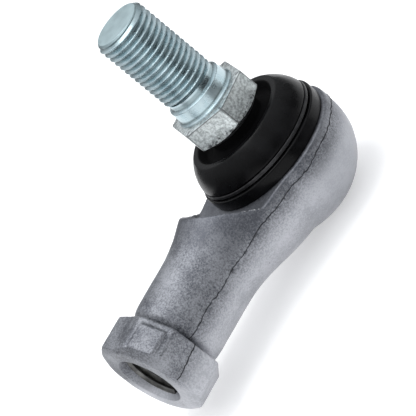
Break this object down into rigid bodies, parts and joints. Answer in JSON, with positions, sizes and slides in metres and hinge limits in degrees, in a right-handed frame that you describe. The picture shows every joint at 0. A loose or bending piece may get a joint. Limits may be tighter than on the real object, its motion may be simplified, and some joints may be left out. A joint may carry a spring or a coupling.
{
  "type": "tie rod end",
  "caption": "Angled ball joint end: a cast arm with a threaded socket holds a ball with a threaded, hexagon-collared stud under a rubber boot.",
  "frame": {"origin": "centre of the ball, where the stud's axis crosses the arm's axis", "axes": "+Z along the upright stud towards its thread, -X along the arm towards the socket's mouth, the casting's die line near z = 0"},
  "size_m": [0.0786, 0.0364, 0.0671],
  "materials": {
    "cast_aluminium": "die-cast, satin, fine grain",
    "zinc_plated_steel": "blue-white zinc plate",
    "bearing_steel": "ground and polished",
    "seat_plastic": "moulded acetal, satin",
    "spring_steel": "phosphated",
    "boot_rubber": "moulded, satin",
    "black_wire": "black coated spring wire"
  },
  "bodies": {
    "housing": {"housing": "cast_aluminium", "lower_seat": "seat_plastic", "upper_seat": "seat_plastic", "preload_spring": "spring_steel", "thrust_ring": "spring_steel", "retaining_ring": "spring_steel"},
    "boot": {"dust_boot": "boot_rubber", "boot_clamp": "black_wire"},
    "boot_top": {"neck_ring": "black_wire"},
    "stud": {"stud": "zinc_plated_steel", "ball": "bearing_steel"}
  },
  "joints": [
    {"name": "boot_turn", "type": "hinge", "parent": "housing", "child": "boot", "pos_m": [0, 0, 0], "axis": [0, 0, 1], "continuous": true},
    {"name": "stud_lean", "type": "hinge", "parent": "boot", "child": "boot_top", "pos_m": [0, 0, 0], "axis": [0, 1, 0], "range_deg": [-20, 20], "deforming": ["dust_boot"]},
    {"name": "stud_spin", "type": "hinge", "parent": "boot_top", "child": "stud", "pos_m": [0, 0, 0], "axis": [0, 0, 1], "continuous": true}
  ]
}
